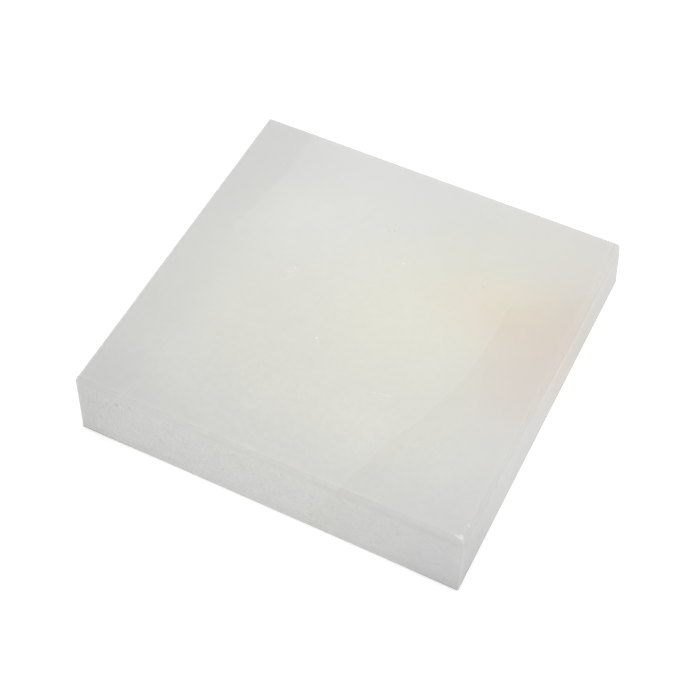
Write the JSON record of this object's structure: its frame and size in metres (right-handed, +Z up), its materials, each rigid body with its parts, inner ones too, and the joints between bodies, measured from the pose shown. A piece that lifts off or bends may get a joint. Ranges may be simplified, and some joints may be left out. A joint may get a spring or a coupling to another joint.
{
  "type": "gymnastics chalk block",
  "caption": "Flat square block of pale, faintly translucent chalk mineral, with sawn sides, a honed top and a narrow ground bevel round it.",
  "frame": {"origin": "centre of the base's bounding box, on the surface that the block lies on", "axes": "+Z up from the base to the honed top, +X to the right side, -Y to the front side"},
  "size_m": [0.1006, 0.1004, 0.0176],
  "materials": {
    "chalk_mineral": "honed satin top, ground bevels, matt sawn sides, faintly translucent"
  },
  "bodies": {
    "root": {"chalk_block": "chalk_mineral"}
  },
  "joints": []
}
